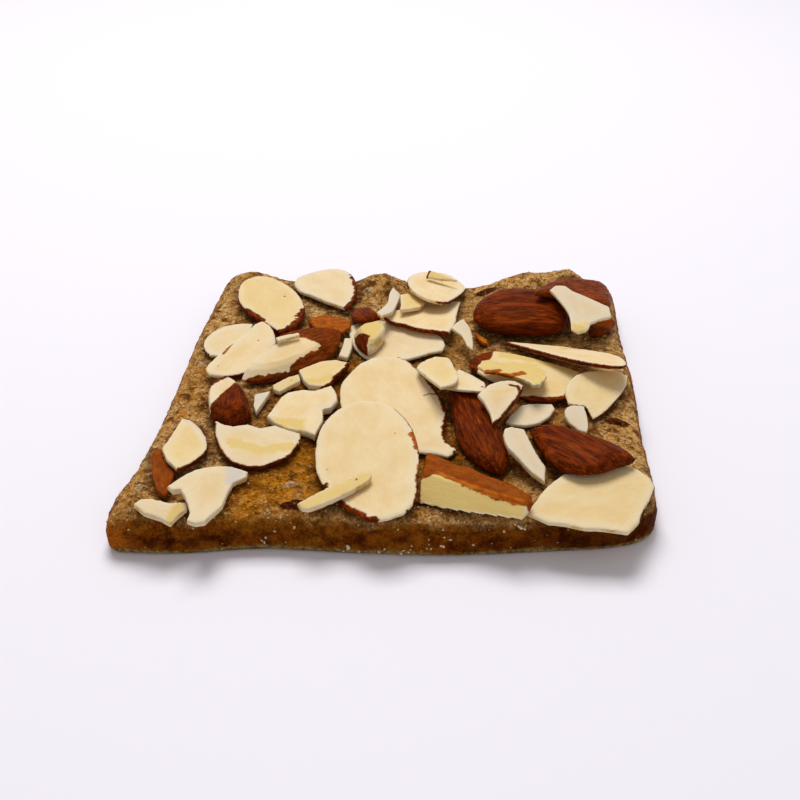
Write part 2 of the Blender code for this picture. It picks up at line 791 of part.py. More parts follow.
lay(
    "almond_big_front",
    (
        (-10.7, -24.9, 1), (-9.9, -26.9, 1), (-8.3, -29.6, 1), (-6.5, -31.6, 1), (-4.9, -32.9, 1),
        (-3.3, -34.3, 0), (-1, -34.1, 1), (1, -33.2, 1), (2.2, -31.6, 1), (2.6, -29.4, 1),
        (2.5, -26.4, 1), (2.8, -23.8, 1), (2.6, -21.3, 1), (2.1, -18.4, 1), (1.1, -15.5, 1),
        (-0.5, -12.8, 1), (-2.3, -10.9, 1), (-4.6, -10.1, 1), (-7.2, -10.5, 1), (-9, -11.9, 1),
        (-10.3, -13.9, 1), (-11.1, -16.4, 1), (-11.3, -19.1, 1), (-11.1, -22.6, 1),
    ),
    FLESH,
    thickness=0.65,
)
lay(
    "almond_stick",
    (
        (-11.8, -32.8, 0), (-10.9, -33.1, 1), (-9.8, -32.6, 1), (-7.7, -31.4, 1), (-5.5, -29.9, 1),
        (-3.8, -28.5, 1), (-3.2, -27.5, 1), (-3.4, -26.7, 1), (-4.9, -26.8, 1), (-6.6, -27.8, 1),
        (-9.3, -29.6, 1), (-11.5, -31.3, 1), (-12.4, -32, 0),
    ),
    FLESH,
    thickness=0.8,
)

# Right side
lay(
    "almond_brown_front",
    (
        (18.6, -19.1, 1), (19.7, -23.3, 1), (21.7, -25.7, 1), (24, -26.4, 1), (26.5, -25.6, 1),
        (29.3, -24, 1), (30.9, -23, 0), (28.6, -19.3, 1), (25.5, -16.5, 1), (22.5, -14.1, 1),
        (20, -13.1, 1), (17.7, -14.3, 0),
    ),
    SKIN,
    thickness=2.0,
    profile=LOW_DOME,
)
lay(
    "almond_white_stick",
    (
        (14.3, -21.5, 1), (15.7, -23.2, 1), (17.3, -25.3, 1), (18.9, -26.5, 0), (19.2, -23.6, 0),
        (18.2, -21.5, 1), (17.3, -19, 1), (16.7, -16.9, 0), (14.9, -17, 1), (14, -17.7, 1),
        (13.7, -19.1, 1),
    ),
    FLESH,
    thickness=0.9,
)
lay(
    "almond_right_slice",
    (
        (23.5, -4.7, 1), (23.2, -6.5, 1), (23.5, -8.4, 0), (26, -8.3, 0), (26.2, -8.8, 0),
        (26.8, -11, 0), (28.2, -9.6, 1), (29.8, -7.4, 1), (31.5, -4.7, 1), (32.7, -2.2, 1),
        (33.1, -0.1, 0), (31.6, 0.5, 1), (29.9, 0.4, 1), (27.1, -0.5, 1), (25.1, -1.8, 1),
        (23.9, -3.5, 0),
    ),
    FLESH,
    thickness=0.6,
)
lay(
    "almond_small_right",
    (
        (22.8, -11.6, 1), (23.3, -12.8, 1), (24.4, -14.1, 1), (25.5, -14.6, 0), (25.8, -13.5, 1),
        (25.8, -11.6, 1), (25.5, -9.8, 0), (24.2, -9.5, 1), (23.1, -9.8, 1), (22.7, -10.5, 1),
    ),
    FLESH,
    thickness=0.7,
)
lay(
    "almond_long_tilted",
    (
        (16.9, 8.1, 1), (20.6, 4.1, 1), (25, -0.4, 1), (28.3, -2.6, 1), (31.6, -3.2, 1),
        (32.5, -0.7, 1), (31.9, 2.3, 1), (29.6, 4.7, 1), (24.6, 7.3, 1), (20, 8.8, 1),
        (15.3, 10.1, 0),
    ),
    FLESH,
    thickness=0.8,
    profile=SKINNED,
    lean=(0.0, -0.3),
)

# Back right corner
lay(
    "skin_corner_small",
    (
        (28.9, 12.7, 0), (30.4, 12.9, 1), (32.3, 14.5, 1), (33.4, 16.2, 1), (33, 17.6, 0),
        (31, 16.5, 0), (28.8, 14, 0),
    ),
    SKIN,
    thickness=0.9,
)
lay(
    "skin_corner_curved",
    (
        (24.9, 16.8, 1), (29.5, 16.8, 1), (32.8, 18.8, 0), (33.4, 22.2, 1), (33.5, 26, 1),
        (32.6, 28.7, 1), (30.1, 28.2, 1), (26.7, 26.8, 1), (24, 23.8, 1), (21.6, 19.8, 1),
        (19.8, 15.7, 0),
    ),
    SKIN,
    thickness=1.2,
    profile=LOW_DOME,
)
lay(
    "almond_corner_white",
    (
        (24.1, 13.5, 1), (25.1, 10.9, 1), (25.1, 7.4, 0), (26.1, 6.8, 1), (27.4, 7.7, 1),
        (28.4, 9.9, 0), (29.8, 11.2, 1), (32, 12.9, 0), (31.9, 15.3, 0), (28.9, 16.5, 1),
        (26.2, 17.4, 0), (25, 18.4, 1), (23.4, 17.9, 1), (22.4, 16.3, 0),
    ),
    FLESH,
    thickness=0.6,
)
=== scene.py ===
"""A square of baked spice dough with flaked, broken and skin-on almonds strewn over it."""

import math

import bmesh
import bpy
import numpy as np
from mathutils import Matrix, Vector, kdtree, noise
from mathutils.bvhtree import BVHTree


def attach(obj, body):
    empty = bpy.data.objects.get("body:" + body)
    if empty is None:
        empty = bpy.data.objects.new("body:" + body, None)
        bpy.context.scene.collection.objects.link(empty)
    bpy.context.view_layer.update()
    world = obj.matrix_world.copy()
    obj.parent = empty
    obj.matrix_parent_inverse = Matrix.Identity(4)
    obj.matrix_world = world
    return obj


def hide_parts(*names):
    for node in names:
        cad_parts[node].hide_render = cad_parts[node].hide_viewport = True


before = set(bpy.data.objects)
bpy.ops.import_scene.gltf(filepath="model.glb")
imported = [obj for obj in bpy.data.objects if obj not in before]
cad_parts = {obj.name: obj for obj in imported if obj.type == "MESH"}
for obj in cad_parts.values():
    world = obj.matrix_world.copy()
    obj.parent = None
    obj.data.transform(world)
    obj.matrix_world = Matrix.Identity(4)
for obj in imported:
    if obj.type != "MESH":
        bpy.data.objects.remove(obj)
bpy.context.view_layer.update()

# The dough
# A slab of rolled, hand-cut spiced biscuit dough, about 5 mm thick and baked through.
# The floured top is tan and grainy, the cut sides are dark and toasted, and the foot has
# spread into a thin pale lip. Ten small chips of nut and skin are baked into it.
MM = 0.001
DOUGH_CELL = 0.28
DOUGH_SOFTENING = 5
DOUGH_FACES_KEPT = 0.64
DOUGH_COARSE = (2.2, 0.26)
DOUGH_FINE = (0.85, 0.24)
SIDE_LOOKS_OUT = 0.62
NUTS_SHADE_WITHIN = 2.5
FRONT_LEFT_CORNER = (-36.0, -33.0)
CHIP_HEIGHT = 3
DARK_CHIPS = (
    (30.3, -10.4, 3.2, 1.5, -20.0),
    (13.0, 27.6, 3.6, 1.4, 20.0),
    (-13.0, -30.6, 3.2, 1.4, 10.0),
)
PALE_CHIPS = (
    (-33.0, -28.5, 1.6, 1.1, 40.0),
    (-31.0, 3.0, 1.7, 1.1, 70.0),
    (-14.0, -26.0, 1.5, 1.0, 15.0),
    (12.0, -26.2, 1.6, 1.1, 30.0),
    (30.0, 5.5, 1.7, 1.2, 60.0),
    (-7.0, 26.0, 1.6, 1.2, 0.0),
    (6.0, 9.0, 1.5, 1.1, 45.0),
)
GOLDEN = (0.44, 0.142, 0.005), (0.66, 0.265, 0.018)
FLOURED = (0.62, 0.30, 0.078), (0.86, 0.54, 0.215)
CREST_HIGHLIGHT = (0.74, 0.44, 0.125)
TROUGH_SHADE = (0.21, 0.060, 0.003)
MOIST = (0.165, 0.048, 0.005)
PIT_SHADE = (0.105, 0.028, 0.004)
NUT_DUST = (0.66, 0.50, 0.30)
NUT_SHADE_AND_STAIN = (0.090, 0.022, 0.004)
CREVICE_SHADE = (0.15, 0.046, 0.003)
CRUST = (0.075, 0.010, 0.001), (0.25, 0.058, 0.003)
BROWN_CRUST = (0.30, 0.090, 0.006)
CRUST_EDGE = (0.34, 0.115, 0.006)
RIGHT_FRONT_SHADE = (0.050, 0.007, 0.001)
CORNER_AMBER_GLOW = (0.44, 0.115, 0.007)
FOOT = (0.22, 0.13, 0.025), (0.52, 0.40, 0.16)
UNDERSIDE = (0.24, 0.10, 0.026), (0.40, 0.21, 0.07)
PALE_CHIP = (0.78, 0.58, 0.34)
DARK_CHIP = (0.055, 0.012, 0.003), (0.16, 0.042, 0.009)
MATT, MOIST_MATT = (0.72,) * 3, (0.40,) * 3
WARM_SHEEN = (1.0, 0.6, 0.25, 1.0)


def welded_copy(node, name):
    """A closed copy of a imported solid, whose own mesh is loose triangles."""
    bm = bmesh.new()
    bm.from_mesh(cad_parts[node].data)
    bmesh.ops.remove_doubles(bm, verts=bm.verts, dist=0.001 * MM)
    mesh = bpy.data.meshes.new(name)
    bm.to_mesh(mesh)
    bm.free()
    piece = bpy.data.objects.new(name, mesh)
    bpy.context.scene.collection.objects.link(piece)
    return piece


def settle(piece):
    """Turns what the modifiers make into the piece's own plain mesh."""
    graph = bpy.context.evaluated_depsgraph_get()
    mesh = bpy.data.meshes.new_from_object(piece.evaluated_get(graph))
    piece.modifiers.clear()
    before = piece.data
    piece.data = mesh
    bpy.data.meshes.remove(before)


def even_cells(piece, cell, softening):
    """Gives a piece small even faces and takes the hard facets off it."""
    cells = piece.modifiers.new("cells", "REMESH")
    cells.mode = "VOXEL"
    cells.voxel_size = cell * MM
    cells.use_smooth_shade = True
    soft = piece.modifiers.new("soft", "SMOOTH")
    soft.factor = 0.5
    soft.iterations = softening
    settle(piece)


def merge_flats(piece, share):
    """Keeps a share of a piece's faces. Flat places, such as an underside, lose theirs first."""
    flats = piece.modifiers.new("flats", "DECIMATE")
    flats.ratio = share
    settle(piece)


def points_of(piece):
    """Points in millimetres and their normals."""
    count = len(piece.data.vertices)
    points = np.empty(count * 3)
    normals = np.empty(count * 3)
    piece.data.vertices.foreach_get("co", points)
    piece.data.vertex_normals.foreach_get("vector", normals)
    return points.reshape(-1, 3) / MM, normals.reshape(-1, 3)


def keep(piece, name, values):
    """Stores one number, or one vector, for each point of a piece."""
    kind, field = ("FLOAT_VECTOR", "vector") if np.ndim(values) == 2 else ("FLOAT", "value")
    stored = piece.data.attributes.new(name, kind, "POINT")
    stored.data.foreach_set(field, np.asarray(values, np.float32).ravel())


def patchy(points, size, seed):
    """Smooth random numbers from about -1 to 1 at points in millimetres."""
    shift = Vector((seed * 3.71, seed * 1.93, seed * 5.17))
    return np.array([noise.noise(Vector(p) / size + shift) for p in points])


def ramp(values, low, high):
    t = np.clip((values - low) / (high - low), 0, 1)
    return t * t * (3 - 2 * t)


def wire(tree, kind, settings=(), **inputs):
    """Adds a shader or geometry node. An input is named by its label, or by its place as i0, i1."""
    made = tree.nodes.new(kind)
    for key, value in dict(settings).items():
        setattr(made, key, value)
    for key, value in inputs.items():
        place = int(key[1:]) if key[1:].isdigit() else key.replace("_", " ")
        if isinstance(value, bpy.types.NodeSocket):
            tree.links.new(value, made.inputs[place])
        else:
            made.inputs[place].default_value = value
    return made


def geometry_tree(name, inputs):
    """A geometry nodes tree with named inputs, and what it is given."""
    tree = bpy.data.node_groups.new(name, "GeometryNodeTree")
    tree.interface.new_socket("Geometry", in_out="OUTPUT", socket_type="NodeSocketGeometry")
    tree.interface.new_socket("Geometry", in_out="INPUT", socket_type="NodeSocketGeometry")
    for label, kind in inputs:
        tree.interface.new_socket(label, in_out="INPUT", socket_type="NodeSocket" + kind)
    return tree, tree.nodes.new("NodeGroupInput").outputs


def on_points(tree, name, kind="FLOAT"):
    """What is stored under a name on each point, in geometry nodes."""
    return wire(tree, "GeometryNodeInputNamedAttribute", {"data_type": kind}, Name=name).outputs[0]


def maths(tree, operation, first, second):
    return wire(tree, "ShaderNodeMath", {"operation": operation}, i0=first, i1=second).outputs[0]


def relief_tree():
    """Geometry nodes that move a surface along its normals by two sizes of noise, as "give" allows."""
    labels = ("Coarse Size", "Coarse Height", "Fine Size", "Fine Height", "Seed")
    tree, given = geometry_tree("baked relief", [(label, "Float") for label in labels])
    grain = on_points(tree, "grain", "FLOAT_VECTOR")
    give = on_points(tree, "give")
    heights = []
    for size, height, detail in (("Coarse Size", "Coarse Height", 2.0), ("Fine Size", "Fine Height", 3.0)):
        pattern = wire(
            tree, "ShaderNodeTexNoise", {"noise_dimensions": "4D"}, Vector=grain, W=given["Seed"],
            Scale=maths(tree, "DIVIDE", 1.0, given[size]), Detail=detail, Roughness=0.55,
        ).outputs[0]
        heights.append(maths(tree, "MULTIPLY", maths(tree, "SUBTRACT", pattern, 0.5), given[height]))
    allowed = maths(tree, "MULTIPLY", maths(tree, "ADD", *heights), give)
    metres = maths(tree, "MULTIPLY", allowed, 2 * MM)
    normal = wire(tree, "GeometryNodeInputNormal").outputs[0]
    offset = wire(tree, "ShaderNodeVectorMath", {"operation": "SCALE"}, i0=normal, Scale=metres).outputs[0]
    moved = wire(tree, "GeometryNodeSetPosition", Geometry=given["Geometry"], Offset=offset).outputs[0]
    real = wire(tree, "GeometryNodeRealizeInstances", Geometry=moved).outputs[0]
    wire(tree, "NodeGroupOutput", Geometry=real)
    return tree


def set_inputs(modifier, **values):
    """Sets a geometry nodes modifier's inputs, found by name and set by identifier."""
    for item in modifier.node_group.interface.items_tree:
        if item.item_type == "SOCKET" and item.in_out == "INPUT":
            name = item.name.replace(" ", "_")
            if name in values:
                modifier[item.identifier] = values[name]


BAKED_RELIEF = relief_tree()


def roughen(piece, coarse, fine, seed):
    modifier = piece.modifiers.new("relief", "NODES")
    modifier.node_group = BAKED_RELIEF
    set_inputs(
        modifier, Coarse_Size=coarse[0], Coarse_Height=coarse[1], Fine_Size=fine[0], Fine_Height=fine[1],
        Seed=float(seed),
    )
    settle(piece)


def blank_material(name):
    """A new node material, with its tree and its shader."""
    made = bpy.data.materials.new(name)
    made.use_nodes = True
    return made, made.node_tree, made.node_tree.nodes["Principled BSDF"]


def rising(tree, value, low, high, kind="LINEAR"):
    """Nought where a value is at low and one where it is at high, which may be the smaller."""
    settings = {"interpolation_type": kind}
    return wire(tree, "ShaderNodeMapRange", settings, Value=value, From_Min=low, From_Max=high).outputs[0]


def spots(tree, where, size, low, high, detail=3.0, seed=0.0, stretch=None):
    """A mask of soft spots of one size in millimetres, nought below low and one above high."""
    if stretch:
        where = wire(tree, "ShaderNodeVectorMath", {"operation": "MULTIPLY"}, i0=where, i1=stretch)
        where = where.outputs[0]
    pattern = wire(
        tree, "ShaderNodeTexNoise", {"noise_dimensions": "4D"}, Vector=where, W=seed, Scale=1 / size,
        Detail=detail, Roughness=0.6,
    ).outputs[0]
    return rising(tree, pattern, low, high, "SMOOTHSTEP")


def between(tree, share, first, second):
    """A colour between two others."""
    made = wire(tree, "ShaderNodeMix", {"data_type": "RGBA"}, i0=share)
    for place, colour in ((6, first), (7, second)):
        if isinstance(colour, bpy.types.NodeSocket):
            tree.links.new(colour, made.inputs[place])
        else:
            made.inputs[place].default_value = (*colour, 1.0)
    return made.outputs[2]


def stored(tree, name):
    """The number stored under a name on each point, in a shader."""
    return wire(tree, "ShaderNodeAttribute", {"attribute_name": name}).outputs["Fac"]


def stored_vector(tree, name):
    return wire(tree, "ShaderNodeAttribute", {"attribute_name": name}).outputs["Vector"]


def both_of(tree, first, second, operation="MULTIPLY"):
    settings = {"operation": operation, "use_clamp": True}
    return wire(tree, "ShaderNodeMath", settings, i0=first, i1=second).outputs[0]


def stain(tree, colour, mask, share, other):
    """Another colour over part of a mask's strength."""
    return between(tree, both_of(tree, mask, share), colour, other)


def stands(tree, colour, heights):
    """Bump from masks, each with its height in millimetres, over the given base colour."""
    normal = None
    for mask, height in heights:
        made = wire(tree, "ShaderNodeBump", Height=mask, Distance=abs(height) * MM, Strength=1.0)
        made.invert = height < 0
        if normal is not None:
            tree.links.new(normal, made.inputs["Normal"])
        normal = made.outputs[0]
    shader = tree.nodes["Principled BSDF"]
    tree.links.new(colour, shader.inputs["Base Color"])
    tree.links.new(normal, shader.inputs["Normal"])


def matt_food(shader, specular, scatter, radius, depth):
    """The gloss of dry food, and how far light soaks into it, in millimetres."""
    shader.inputs["Specular IOR Level"].default_value = specular
    shader.inputs["Specular Tint"].default_value = WARM_SHEEN
    shader.inputs["Subsurface Weight"].default_value = scatter
    shader.inputs["Subsurface Radius"].default_value = radius
    shader.inputs["Subsurface Scale"].default_value = depth * MM


def dough_material():
    made, tree, shader = blank_material("baked spice dough")
    where = stored_vector(tree, "grain")

    golden = between(tree, spots(tree, where, 1.1, 0.36, 0.66), *GOLDEN)
    floured = between(tree, spots(tree, where, 0.8, 0.40, 0.62, seed=2.0), *FLOURED)
    top = between(tree, spots(tree, where, 13.0, 0.42, 0.60, seed=4.0), golden, floured)
    top = between(tree, stored(tree, "dusty"), top, floured)
    crests = spots(tree, where, 0.9, 0.54, 0.68, seed=5.0, detail=4.0)
    # Painted highlight: the tops of the small bumps are painted lighter, where they would catch the light.
    top = stain(tree, top, crests, 0.5, CREST_HIGHLIGHT)
    troughs = spots(tree, where, 1.5, 0.47, 0.36, seed=6.0, detail=4.0)
    # Painted shade: the hollows between the bumps are painted dark brown.
    top = stain(tree, top, troughs, 0.6, TROUGH_SHADE)
    moist = spots(tree, where, 2.1, 0.53, 0.66, seed=7.0, detail=4.0)
    top = between(tree, moist, top, MOIST)
    pits = spots(tree, where, 0.42, 0.56, 0.68, seed=9.0)
    # Painted shade: the small pits are painted darker.
    top = stain(tree, top, pits, 0.75, PIT_SHADE)
    top = stain(tree, top, spots(tree, where, 0.3, 0.64, 0.72, seed=11.0), 0.8, NUT_DUST)
    # Painted shade round the nuts, together with a darker syrupy stain in the dough close to them.
    nut_shade_and_stain = both_of(tree, stored(tree, "near"), spots(tree, where, 1.2, 0.30, 0.56, seed=12.0))
    top = stain(tree, top, nut_shade_and_stain, 0.8, NUT_SHADE_AND_STAIN)
    grit = wire(
        tree, "ShaderNodeTexVoronoi", {"feature": "SMOOTH_F1"}, Vector=where, Scale=2.6, Smoothness=0.4
    ).outputs[0]
    # Painted shade: the crevices of the grainy surface are painted darker.
    top = stain(tree, top, rising(tree, grit, 0.34, 0.70), 0.45, CREVICE_SHADE)

    crust = between(tree, spots(tree, where, 1.6, 0.38, 0.66, seed=14.0), *CRUST)
    crust = between(tree, spots(tree, where, 5.0, 0.46, 0.66, seed=15.0), crust, BROWN_CRUST)
    edges = both_of(tree, stored(tree, "edges"), spots(tree, where, 0.9, 0.38, 0.60, seed=13.0))
    crust = between(tree, edges, crust, CRUST_EDGE)
    # Painted shade: the cut front is painted darker towards the right.
    crust = between(tree, stored(tree, "right_front_shade"), crust, RIGHT_FRONT_SHADE)
    # Painted glow: the crust at the front left corner is painted amber, as light shining through the dough
    # there.
    crust = between(tree, stored(tree, "amber"), crust, CORNER_AMBER_GLOW)

    colour = between(tree, stored(tree, "side"), top, crust)
    foot = between(tree, spots(tree, where, 0.7, 0.36, 0.62, seed=16.0), *FOOT)
    colour = between(tree, stored(tree, "lip"), colour, foot)
    under = between(tree, spots(tree, where, 1.4, 0.38, 0.64, seed=18.0), *UNDERSIDE)
    colour = between(tree, stored(tree, "under"), colour, under)
    colour = stain(tree, colour, stored(tree, "chip"), 0.4, PALE_CHIP)
    peel = between(tree, spots(tree, where, 0.5, 0.40, 0.62, seed=19.0), *DARK_CHIP)
    colour = between(tree, stored(tree, "peel"), colour, peel)

    fine = spots(tree, where, 0.16, 0.2, 0.8, seed=21.0)
    stands(tree, colour, ((crests, 0.22), (troughs, -0.25), (grit, -0.22), (pits, -0.18), (fine, 0.08)))
    wet = between(tree, both_of(tree, moist, 0.8), MATT, MOIST_MATT)
    tree.links.new(wet, shader.inputs["Roughness"])
    matt_food(shader, 0.03, 0.08, (1.0, 0.5, 0.2), 0.8)
    return made


def from_nuts(points, furthest):
    """Distance in millimetres from each point to the nearest of the nuts that lie on the dough."""
    bm = bmesh.new()
    for node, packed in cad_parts.items():
        if node != "dough":
            bm.from_mesh(packed.data)
    tree = BVHTree.FromBMesh(bm)
    bm.free()
    found = [tree.find_nearest(Vector(p) * MM, furthest * MM)[3] for p in points]
    return np.array([furthest if gap is None else gap / MM for gap in found])


def chip_mask(points, chips):
    """One on the small chips that are baked into the dough, nought elsewhere."""
    found = np.zeros(len(points))
    for x, y, length, width, turn in chips:
        c, s = math.cos(math.radians(turn)), math.sin(math.radians(turn))
        along = (points[:, 0] - x) * c + (points[:, 1] - y) * s
        across = -(points[:, 0] - x) * s + (points[:, 1] - y) * c
        reach = (along / (length * 0.56)) ** 2 + (across / (width * 0.6)) ** 2
        found = np.maximum(found, (reach < 1) & (points[:, 2] > CHIP_HEIGHT))
    return found


dough = welded_copy("dough", "baked_dough")
even_cells(dough, DOUGH_CELL, DOUGH_SOFTENING)
merge_flats(dough, DOUGH_FACES_KEPT)
points, normals = points_of(dough)
ragged = patchy(points, 1.5, 1)
side = 1 - ramp(normals[:, 2] + 0.12 * ragged, SIDE_LOOKS_OUT - 0.2, SIDE_LOOKS_OUT + 0.12)
under = ramp(-normals[:, 2], 0.6, 0.9)
keep(dough, "grain", points)
keep(dough, "give", ramp(normals[:, 2], -0.6, -0.2) * ramp(points[:, 2], 0.1, 0.5))
keep(dough, "side", side * (1 - under))
keep(dough, "under", under)
corner_x, corner_y = FRONT_LEFT_CORNER
corner = np.hypot((points[:, 0] - corner_x) / 3.4, (points[:, 1] - corner_y) / 3.0)
# Where the painted amber glow of light through the front left corner lies.
keep(dough, "amber", ramp(-corner + 0.25 * ragged, -1.25, -0.5) * 0.9)
keep(dough, "edges", (1 - np.exp(-((points[:, 2] - 2.6) / 1.3) ** 2)) * 0.7)
# Where the painted shade darkens the cut front towards the right.
keep(dough, "right_front_shade", ramp(points[:, 0] + 6 * ragged, 4, 26) * ramp(-points[:, 1], 22, 30) * 0.6)
lip_top = 0.85 + 0.4 * patchy(points * (1, 1, 0), 5.0, 2)
keep(dough, "lip", (1 - ramp(points[:, 2], lip_top - 0.25, lip_top + 0.2)) * (1 - under) * 0.8)
away = np.abs(points[:, 0] + 5) / 36 + 1.2 * (points[:, 1] > 0) * points[:, 1] / 32
keep(dough, "dusty", ramp(away + 0.25 * ragged, 0.48, 1.02) * 0.85)
# How close each point lies to a nut, for the painted shade and stain round the nuts.
keep(dough, "near", 1 - ramp(from_nuts(points, NUTS_SHADE_WITHIN) + 0.5 * ragged, 0.3, 2.2))
keep(dough, "chip", chip_mask(points, PALE_CHIPS))
keep(dough, "peel", chip_mask(points, DARK_CHIPS))
roughen(dough, DOUGH_COARSE, DOUGH_FINE, 3)
dough.data.materials.append(dough_material())
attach(dough, "root")
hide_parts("dough")

# Sugar grains, crumbs and ground spice on the dough
# Coarse sugar and nut dust that stuck to the floured top, crumbs torn off at the cut front
# edge and its foot, and dark grains of ground spice. All are pressed a little way into the
# surface. Each kind has a number per square millimetre, least and greatest radii, and a seed.
SUGAR_GRAINS = (0.30, 0.02, 0.11, 5)
CRUMBS = (0.20, 0.04, 0.24, 6)
SPICE_GRAINS = (0.20, 0.05, 0.12, 7)
FOOT_CRUMBS = (1.6, 0.05, 0.30, 8)
FOOT_CRUMB_SPOTS = (
    (-6.4, -33.6, 1.0), (-5.6, -33.6, 0.8), (-1.8, -33.7, 0.9), (0.6, -33.7, 0.8), (1.4, -33.7, 1.2),
    (2.4, -33.6, 0.6), (4.2, -33.6, 1.6), (5.4, -33.6, 1.8), (6.8, -33.4, 3.2), (-16.4, -33.4, 1.8),
    (15.4, -32.2, 4.6),
)
FOOT_CRUMBS_WITHIN = 0.75


def strewing_tree():
    """Geometry nodes that strew small irregular grains over a surface, where "bare" allows."""
    tree, given = geometry_tree("strewn grains", (
        ("Grains Per Square Millimetre", "Float"), ("Smallest", "Float"), ("Largest", "Float"),
        ("Seed", "Int"), ("Finish", "Material"),
    ))
    thick = maths(tree, "MULTIPLY", given["Grains Per Square Millimetre"], 1 / MM ** 2)
    density = maths(tree, "MULTIPLY", thick, on_points(tree, "bare"))
    seed = given["Seed"]
    spread = wire(
        tree, "GeometryNodeDistributePointsOnFaces", Mesh=given["Geometry"], Density=density, Seed=seed
    )
    ball = wire(tree, "GeometryNodeMeshIcoSphere", Radius=MM, Subdivisions=1).outputs[0]
    random_vector = {"data_type": "FLOAT_VECTOR"}
    least, most = [
        wire(tree, "ShaderNodeCombineXYZ", X=given[end], Y=given[end], Z=given[end]).outputs[0]
        for end in ("Smallest", "Largest")
    ]
    sizes = wire(tree, "FunctionNodeRandomValue", random_vector, i0=least, i1=most, Seed=seed)
    turns = wire(tree, "FunctionNodeRandomValue", random_vector, i0=(0, 0, 0), i1=(math.tau,) * 3, Seed=seed)
    placed = wire(
        tree, "GeometryNodeInstanceOnPoints", Points=spread.outputs[0], Instance=ball,
        Rotation=turns.outputs[0], Scale=sizes.outputs[0],
    ).outputs[0]
    real = wire(tree, "GeometryNodeRealizeInstances", Geometry=placed).outputs[0]
    finished = wire(tree, "GeometryNodeSetMaterial", Geometry=real, Material=given["Finish"]).outputs[0]
    wire(tree, "NodeGroupOutput", Geometry=finished)
    return tree


STREWN_GRAINS = strewing_tree()


def strew(name, kind, bare, finish):
    """Strews one kind of grain over the dough and makes it one piece."""
    per_area, smallest, largest, seed = kind
    grains = bpy.data.objects.new(name, dough.data.copy())
    bpy.context.scene.collection.objects.link(grains)
    keep(grains, "bare", bare)
    modifier = grains.modifiers.new("grains", "NODES")
    modifier.node_group = STREWN_GRAINS
    set_inputs(
        modifier, Grains_Per_Square_Millimetre=per_area, Smallest=smallest, Largest=largest, Seed=seed,
        Finish=finish,
    )
    settle(grains)
    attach(grains, "root")
    return grains


def grain_material(name, dark, light, roughness):
    made, tree, shader = blank_material(name)
    where = wire(tree, "ShaderNodeTexCoord").outputs["Object"]
    colour = between(tree, spots(tree, where, 0.6 * MM, 0.35, 0.65), dark, light)
    tree.links.new(colour, shader.inputs["Base Color"])
    shader.inputs["Roughness"].default_value = roughness
    return made


points, normals = points_of(dough)
upward = ramp(normals[:, 2], 0.1, 0.7)
above_foot = points[:, 2] > 0.5
outward = (1 - np.abs(normals[:, 2])) * above_foot * (points[:, 2] < 4.6)
front = ramp(-points[:, 1], 28.0, 31.0)
clumps = 0.4 + 0.6 * ramp(patchy(points, 4.0, 5), -0.1, 0.4)
SUGAR = grain_material("coarse sugar", (0.62, 0.47, 0.27), (0.86, 0.76, 0.56), 0.35)
CRUMB = grain_material("pale crumb", (0.42, 0.24, 0.07), (0.68, 0.48, 0.23), 0.7)
SPICE = grain_material("ground spice", (0.05, 0.018, 0.006), (0.14, 0.05, 0.015), 0.6)
strew("sugar_grains", SUGAR_GRAINS, upward * clumps + 0.04 * outward, SUGAR)
strew("dough_crumbs", CRUMBS, upward * (0.6 + 0.6 * front) + 0.35 * outward * front, CRUMB)
torn = np.array([min(math.dist(p, spot) for spot in FOOT_CRUMB_SPOTS) for p in points])
strew("foot_crumbs", FOOT_CRUMBS, (torn < FOOT_CRUMBS_WITHIN) * above_foot * 1.0, SUGAR)
strew("spice_grains", SPICE_GRAINS, upward + 0.4 * outward, SPICE)

# Broad almond slices
# Whole kernels sliced lengthways, half a millimetre to a millimetre thick. The cut faces are
# cream, paler and greyer towards the rim, and a thin line of brown skin stays round the
# natural edge. They were strewn on before baking and hold by the dough that they lie on.
SLICE_CELL = 0.15
SLICE_SOFTENING = 1
SLICE_COARSE = (3.0, 0.10)
SLICE_FINE = (0.6, 0.012)
NIBBLE = 0.07
FIBRE_STRETCH = 0.6
CREAM = (0.80, 0.585, 0.298), (0.85, 0.665, 0.395)
PALE_FLESH = (0.66, 0.575, 0.46)
WARM_FLESH = (0.75, 0.54, 0.19)
RIM_RING = (0.82, 0.69, 0.48), (0.66, 0.60, 0.55)
FIBRE = (0.66, 0.42, 0.17)
WALL_YELLOW_AND_SHADE = (0.55, 0.33, 0.055), (0.74, 0.54, 0.22)
RIM_HIGHLIGHT = (0.86, 0.76, 0.58)
SPECK = (0.26, 0.10, 0.022)
SPECKS = ((2.4, 0.06, 0.50, 0.7, 6.0), (1.0, 0.075, 0.56, 0.45, 16.0))
PORE = (0.52, 0.33, 0.13)
HUSK = (0.060, 0.006, 0.0005), (0.190, 0.024, 0.001)
HUSK_PATCH = (0.27, 0.040, 0.003)
HUSK_VEIN = (0.42, 0.105, 0.008)
HONEY = (0.36, 0.068, 0.004), (0.52, 0.145, 0.010)
FLESH_MATT, HUSK_MATT = (0.50,) * 3, (0.40,) * 3


